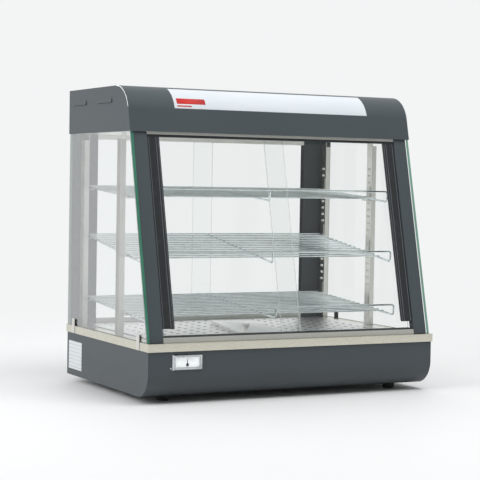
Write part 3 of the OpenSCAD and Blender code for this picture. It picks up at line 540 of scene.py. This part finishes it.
SOFT = [
    (slate, {"base_side_left": 0.4, "base_side_right": 0.4, "base_rear_panel": 0.25, "header_side_left": 0.35,
             "header_side_right": 0.35, "header_rear": 0.25, "front_post_left": 1.2, "front_post_right": 1.2,
             "rear_post_left": 0.5, "rear_post_right": 0.5}),
    (deck_steel, {"deck": 0.5}),
    (stainless, {"glass_clips": 0.35, "front_uprights": 0.2, "rear_uprights": 0.2, "shelf_clips": 0.3,
                 "header_ceiling": 0.2}),
    (painted_hole_shade_plate, {"floor_plates": 0.2}),
    (bright_plate, {"water_tray": 0.35, "tray_cover": 0.2}),
    (aluminium, {"front_lower_track": 0.25, "front_upper_track": 0.25, "rear_tracks": 0.3}),
    (black_plastic, {"door_channels": 0.3, "front_track_liners": 0.25, "thermostat_knob": 0.6,
                     "power_switch": 0.5, "light_switch": 0.5, "light_rocker": 0.5, "cable_gland": 0.4,
                     "gauge_needle": 0.1}),
    (rubber, {"feet": 0.8, "clip_pads": 0.3}),
    (chrome_wire, {"shelf_top": 0, "shelf_middle": 0, "shelf_bottom": 0}),
    (chrome_trim, {"gauge_body": 1.1}),
    (zinc, {"base_floor": 0.2, "heater_pan": 0.4, "element_supports": 0.15}),
    (sheath, {"heating_element": 0}),
    (ceramic, {"terminal_block": 0.4, "thermostat_body": 0.5}),
    (red_plastic, {"power_rocker": 0.5}),
    (amber_plastic, {"pilot_lamp": 0.2}),
    (white_plastic, {"tray_knob": 0.5, "lamp_holders": 0.6}),
    (lamp_glass, {"lamp_tube": 0.3}),
    (label_film, {"rating_plate": 0.15}),
    (dial_face, {"gauge_dial": 0.2}),
    (screw_steel, {"screws": 0.15}),
    (slanted_glass, {"front_door_left": 0.4, "front_door_right": 0.4}),
    (upright_glass, {"rear_door_left": 0.4, "rear_door_right": 0.4}),
    (left_side_glass, {"side_glass_left": 0.5}),
    (right_side_glass, {"side_glass_right": 0.5}),
    (lens_glass, {"gauge_lens": 0.15}),
    (sign_acrylic, {"sign_panel": 0.4}),
]
softened = {}
for material, widths in SOFT:
    for node, width in widths.items():
        softened[node] = soften(node, width, material)
print("softened", len(softened), "pieces,", sum(len(p.data.polygons) for p in softened.values()), "faces")

# %% [markdown]
# ## The bent sheets
# The header's cover and the base's front panel are each one sheet bent over a tool. Spinning an edge
# about the tool's axis is the same motion, and gives even facets that shade as one smooth bend. Each
# starts as a single edge left from a plane: it is extruded along the flat parts, spun round the bend,
# cut along the lines of its window, and made solid inwards.


# %% Sheet tools
def first_edge(name, x, y, z):
    """A new piece made of one edge along X, from -x to x, in edit mode with the edge selected."""
    bpy.ops.object.select_all(action="DESELECT")
    bpy.ops.mesh.primitive_plane_add(size=2, location=(0, 0, 0))
    piece = bpy.context.object
    piece.name = name
    bpy.ops.object.mode_set(mode="EDIT")
    mesh = bmesh.from_edit_mesh(piece.data)
    for vert in mesh.verts:
        vert.select_set(vert.co.y > 0)
    mesh.select_flush_mode()
    bmesh.update_edit_mesh(piece.data)
    bpy.ops.mesh.select_all(action="INVERT")
    bpy.ops.mesh.delete(type="VERT")
    bpy.ops.mesh.select_all(action="SELECT")
    bpy.ops.transform.resize(value=(x, 0, 0), center_override=(0, 0, 0))
    bpy.ops.transform.translate(value=(0, y, z))
    return piece


def extrude(y, z):
    bpy.ops.mesh.extrude_region_move(TRANSFORM_OT_translate={"value": (0, y, z)})


def spin_bend(y, z, angle, steps=28):
    bpy.ops.mesh.spin(steps=steps, angle=angle, center=(0, y, z), axis=(1, 0, 0))


def cut(place, normal):
    bpy.ops.mesh.select_all(action="SELECT")
    bpy.ops.mesh.bisect(plane_co=place, plane_no=normal)


def open_window(piece, inside):
    """Deletes the faces whose centres pass the test inside."""
    bpy.ops.mesh.select_all(action="DESELECT")
    mesh = bmesh.from_edit_mesh(piece.data)
    for face in mesh.faces:
        face.select_set(inside(face.calc_center_median()))
    bmesh.update_edit_mesh(piece.data)
    bpy.ops.mesh.delete(type="FACE")


def finish_sheet(piece, node, offset, round_edge):
    """Makes the skin solid, offset to one side, rounds its edges and puts it in the node's place."""
    bpy.ops.mesh.select_all(action="SELECT")
    bpy.ops.mesh.remove_doubles(threshold=0.00001)
    bpy.ops.mesh.normals_make_consistent(inside=False)
    bpy.ops.object.mode_set(mode="OBJECT")
    apply_modifier(piece, "SOLIDIFY", thickness=SHEET, offset=offset, use_even_offset=True)
    apply_modifier(piece, "BEVEL", width=round_edge, segments=2, limit_method="ANGLE",
                   angle_limit=radians(50))
    only(piece)
    bpy.ops.object.shade_smooth_by_angle(angle=radians(32))
    apply_modifier(piece, "WEIGHTED_NORMAL", keep_sharp=True, weight=80)
    place_piece(piece, body_of[node], slot_of[node], slate, node)
    print(node, "faces", len(piece.data.polygons), "box", [round(v, 4) for v in piece.dimensions])


SHEET = 1.2 * MM
ROUND_EDGE = 0.3 * MM

# %% Header cover
low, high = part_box("header_cover")
R = 64 * MM
mid_z = high.z - R
start_z = mid_z + R * sin(LEAN)
start_y = low.y + (start_z - low.z) * tan(LEAN)
mid_y = start_y + R * cos(LEAN)
cover = first_edge("header_cover_sheet", high.x, low.y, low.z)
extrude(start_y - low.y, start_z - low.z)
spin_bend(mid_y, mid_z, pi / 2 - LEAN)
extrude(high.y - mid_y, 0)
WINDOW_X = 227 * MM
WINDOW_LOW, WINDOW_HIGH = radians(17.6), radians(71.4)
for angle in (WINDOW_LOW, WINDOW_HIGH):
    cut((0, mid_y, mid_z), (0, sin(angle), cos(angle)))
for side in (-1, 1):
    cut((side * WINDOW_X, 0, 0), (1, 0, 0))


def in_sign_window(point):
    angle = atan2(point.z - mid_z, mid_y - point.y)
    return abs(point.x) < WINDOW_X and WINDOW_LOW < angle < WINDOW_HIGH and point.z > mid_z


open_window(cover, in_sign_window)
finish_sheet(cover, "header_cover", -1, ROUND_EDGE)

# %% Base front panel
low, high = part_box("base_front_panel")
R_BASE = 50 * MM
panel = first_edge("base_front_sheet", high.x, low.y, high.z)
extrude(0, low.z + R_BASE - high.z)
spin_bend(low.y + R_BASE, low.z + R_BASE, -pi / 2)
extrude(high.y - low.y - R_BASE, 0)
gauge_low, gauge_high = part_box("gauge_body")
INSET = 3.5 * MM
window = (gauge_low.x + INSET, gauge_high.x - INSET, gauge_low.z + INSET, gauge_high.z - INSET)
for x in window[:2]:
    cut((x, 0, 0), (1, 0, 0))
for z in window[2:]:
    cut((0, 0, z), (0, 0, 1))
open_window(panel, lambda p: window[0] < p.x < window[1] and window[2] < p.z < window[3])
finish_sheet(panel, "base_front_panel", -1, ROUND_EDGE)

# %% [markdown]
# ## Small added details
# These are too fine for the imported model: a thin white bead round the header's curve, whose faint glow
# is a painted highlight for the bright line seen there, the ribs moulded along the door channels, whose
# lighter grey is a painted highlight on them, the ticks on the dial and round the knob, and a plain red
# mark on the sign. Rods are a small circle extruded along a line or spun round a bend, and rings of
# ticks are one tick copied round an axle.


# %% Detail tools
def disc(name, radius, vertices=12):
    """A small filled circle in the XY plane at the origin, in edit mode and selected."""
    bpy.ops.object.select_all(action="DESELECT")
    bpy.ops.mesh.primitive_circle_add(vertices=vertices, radius=radius, fill_type="NGON", location=(0, 0, 0))
    bpy.context.object.name = name
    bpy.ops.object.mode_set(mode="EDIT")
    bpy.ops.mesh.select_all(action="SELECT")
    return bpy.context.object


def close_piece(piece, angle=40):
    """Turns every normal outwards, leaves edit mode and smooths the shading."""
    bpy.ops.mesh.select_all(action="SELECT")
    bpy.ops.mesh.normals_make_consistent(inside=False)
    bpy.ops.object.mode_set(mode="OBJECT")
    only(piece)
    bpy.ops.object.shade_smooth_by_angle(angle=radians(angle))
    return piece


def rod(name, start, end, radius):
    piece = disc(name, radius)
    bpy.ops.transform.translate(value=start)
    bpy.ops.mesh.extrude_region_move(TRANSFORM_OT_translate={"value": Vector(end) - Vector(start)})
    return close_piece(piece)


def join(pieces, name):
    bpy.ops.object.select_all(action="DESELECT")
    for piece in pieces:
        piece.select_set(True)
    bpy.context.view_layer.objects.active = pieces[0]
    bpy.ops.object.join()
    pieces[0].name = name
    return pieces[0]


def tick_ring(name, axle, radius, size, first, sweep, count):
    """Ticks round an axle along Y: one box at the top, turned to the first angle and copied on."""
    bpy.ops.object.select_all(action="DESELECT")
    bpy.ops.mesh.primitive_cube_add(size=1, location=(0, 0, 0))
    piece = bpy.context.object
    piece.name = name
    bpy.ops.object.mode_set(mode="EDIT")
    bpy.ops.mesh.select_all(action="SELECT")
    bpy.ops.transform.resize(value=size, center_override=(0, 0, 0))
    bpy.ops.mesh.bevel(offset=min(size) * 0.3, segments=1, affect="EDGES")
    bpy.ops.mesh.select_all(action="SELECT")
    bpy.ops.transform.translate(value=(axle[0], axle[1], axle[2] + radius))
    bpy.ops.transform.rotate(value=first, orient_axis="Y", center_override=axle)
    bpy.ops.mesh.spin(steps=count - 1, dupli=True, angle=sweep, center=axle, axis=(0, 1, 0))
    return close_piece(piece)


# %% Painted highlight round the header's curve
BEAD = 0.8 * MM
BEAD_X = 327.4 * MM
BEAD_SWEEP = radians(72)
beads = []
for side in (-1, 1):
    bead = disc("header_bead", BEAD)
    bpy.ops.transform.rotate(value=pi / 2, orient_axis="X", center_override=(0, 0, 0))
    bpy.ops.transform.translate(value=(side * BEAD_X, mid_y, mid_z + R - BEAD))
    bpy.ops.mesh.spin(steps=20, angle=-BEAD_SWEEP, center=(0, mid_y, mid_z), axis=(1, 0, 0))
    beads.append(close_piece(bead))
# The bead is a painted highlight: it glows a little and stands for the bright line along the header's curve.
header_highlight_bead = join(beads, "header_painted_highlight")
place_piece(header_highlight_bead, body_of["header_cover"], "white_plastic", glowing_highlight_white)
print(header_highlight_bead.name, [round(v, 4) for v in header_highlight_bead.dimensions])

# %% Ribs of the door channels
low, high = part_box("door_channels")
post_x = high.x
RIBS = ((3.6, 0.9), (19.5, 0.9), (24.5, 0.7))  # how far from the post, and radius, in mm
ribs = []
for side in (-1, 1):
    for inset, radius in RIBS:
        x = side * (post_x - inset * MM)
        rise = high.z - low.z - 2 * MM
        foot = Vector((x, low.y + 0.25 * MM + MM * tan(LEAN), low.z + MM))
        ribs.append(rod("channel_rib", foot, foot + Vector((0, rise * tan(LEAN), rise)), radius * MM))
channel_ribs = join(ribs, "channel_ribs")
# The ribs' lighter grey is a painted highlight on the dark channel.
place_piece(channel_ribs, body_of["door_channels"], "black_plastic", rib_highlight_plastic)
print(channel_ribs.name, [round(v, 4) for v in channel_ribs.dimensions])

# %% Dial ticks and knob scale
needle_low, needle_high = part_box("gauge_needle")
dial_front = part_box("gauge_dial")[0].y
pivot = Vector(((needle_low.x + needle_high.x) / 2, dial_front - 0.05 * MM, needle_low.z + 3 * MM))
DIAL_R, DIAL_TICK = 12.6 * MM, (0.35 * MM, 0.12 * MM, 1.6 * MM)
ticks = tick_ring("dial_ticks", pivot, DIAL_R, DIAL_TICK, -radians(65), radians(130), 14)
place_piece(ticks, body_of["gauge_dial"], "dial_face", ink)
knob_low, knob_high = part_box("thermostat_knob")
panel_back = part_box("base_rear_panel")[1].y
axle = Vector(((knob_low.x + knob_high.x) / 2, panel_back, (knob_low.z + knob_high.z) / 2))
SCALE_R, SCALE_TICK = 21 * MM, (0.8 * MM, 0.3 * MM, 3 * MM)
scale = tick_ring("knob_scale", axle, SCALE_R, SCALE_TICK, 0, radians(270), 10)
place_piece(scale, body_of["base_rear_panel"], "white_plastic", white_plastic)
print(ticks.name, scale.name)

# %% Plain red mark on the sign
FILM_R = R - 0.12 * MM
BARS = ((27, 39, -220, -156), (21.5, 24, -220, -188))  # from and to, in degrees up the bend, then in mm
marks = []
for a0, a1, x0, x1 in BARS:
    start = (mid_y - FILM_R * cos(radians(a0)), mid_z + FILM_R * sin(radians(a0)))
    mark = first_edge("sign_mark", (x1 - x0) / 2 * MM, *start)
    bpy.ops.transform.translate(value=((x0 + x1) / 2 * MM, 0, 0))
    spin_bend(mid_y, mid_z, radians(a1 - a0), 8)
    close_piece(mark)
    apply_modifier(mark, "SOLIDIFY", thickness=0.05 * MM, offset=-1)
    marks.append(mark)
sign_mark = join(marks, "sign_mark")
place_piece(sign_mark, body_of["sign_panel"], "red_plastic", film_red)
print(sign_mark.name, [round(v, 4) for v in sign_mark.dimensions])

# %% Studio floor finish
floor_shader = Shader("studio_floor")
pale = floor_shader.blend(floor_shader.noise(2, 2), (0.67, 0.68, 0.685), (0.69, 0.7, 0.705))
paper = floor_shader.principled(Base_Color=pale, Roughness=0.6)
backdrop = floor_shader.add("ShaderNodeEmission", {}, {"Color": PALE_AIR, "Strength": 1.0})
away = (floor_shader.axis("X") ** 2 + floor_shader.axis("Y") ** 2) ** 0.5
swept = floor_shader.add("ShaderNodeMixShader", {}, {0: away.step(0.5, 1.9), 1: paper, 2: backdrop})
floor.data.materials.append(floor_shader.done(swept))
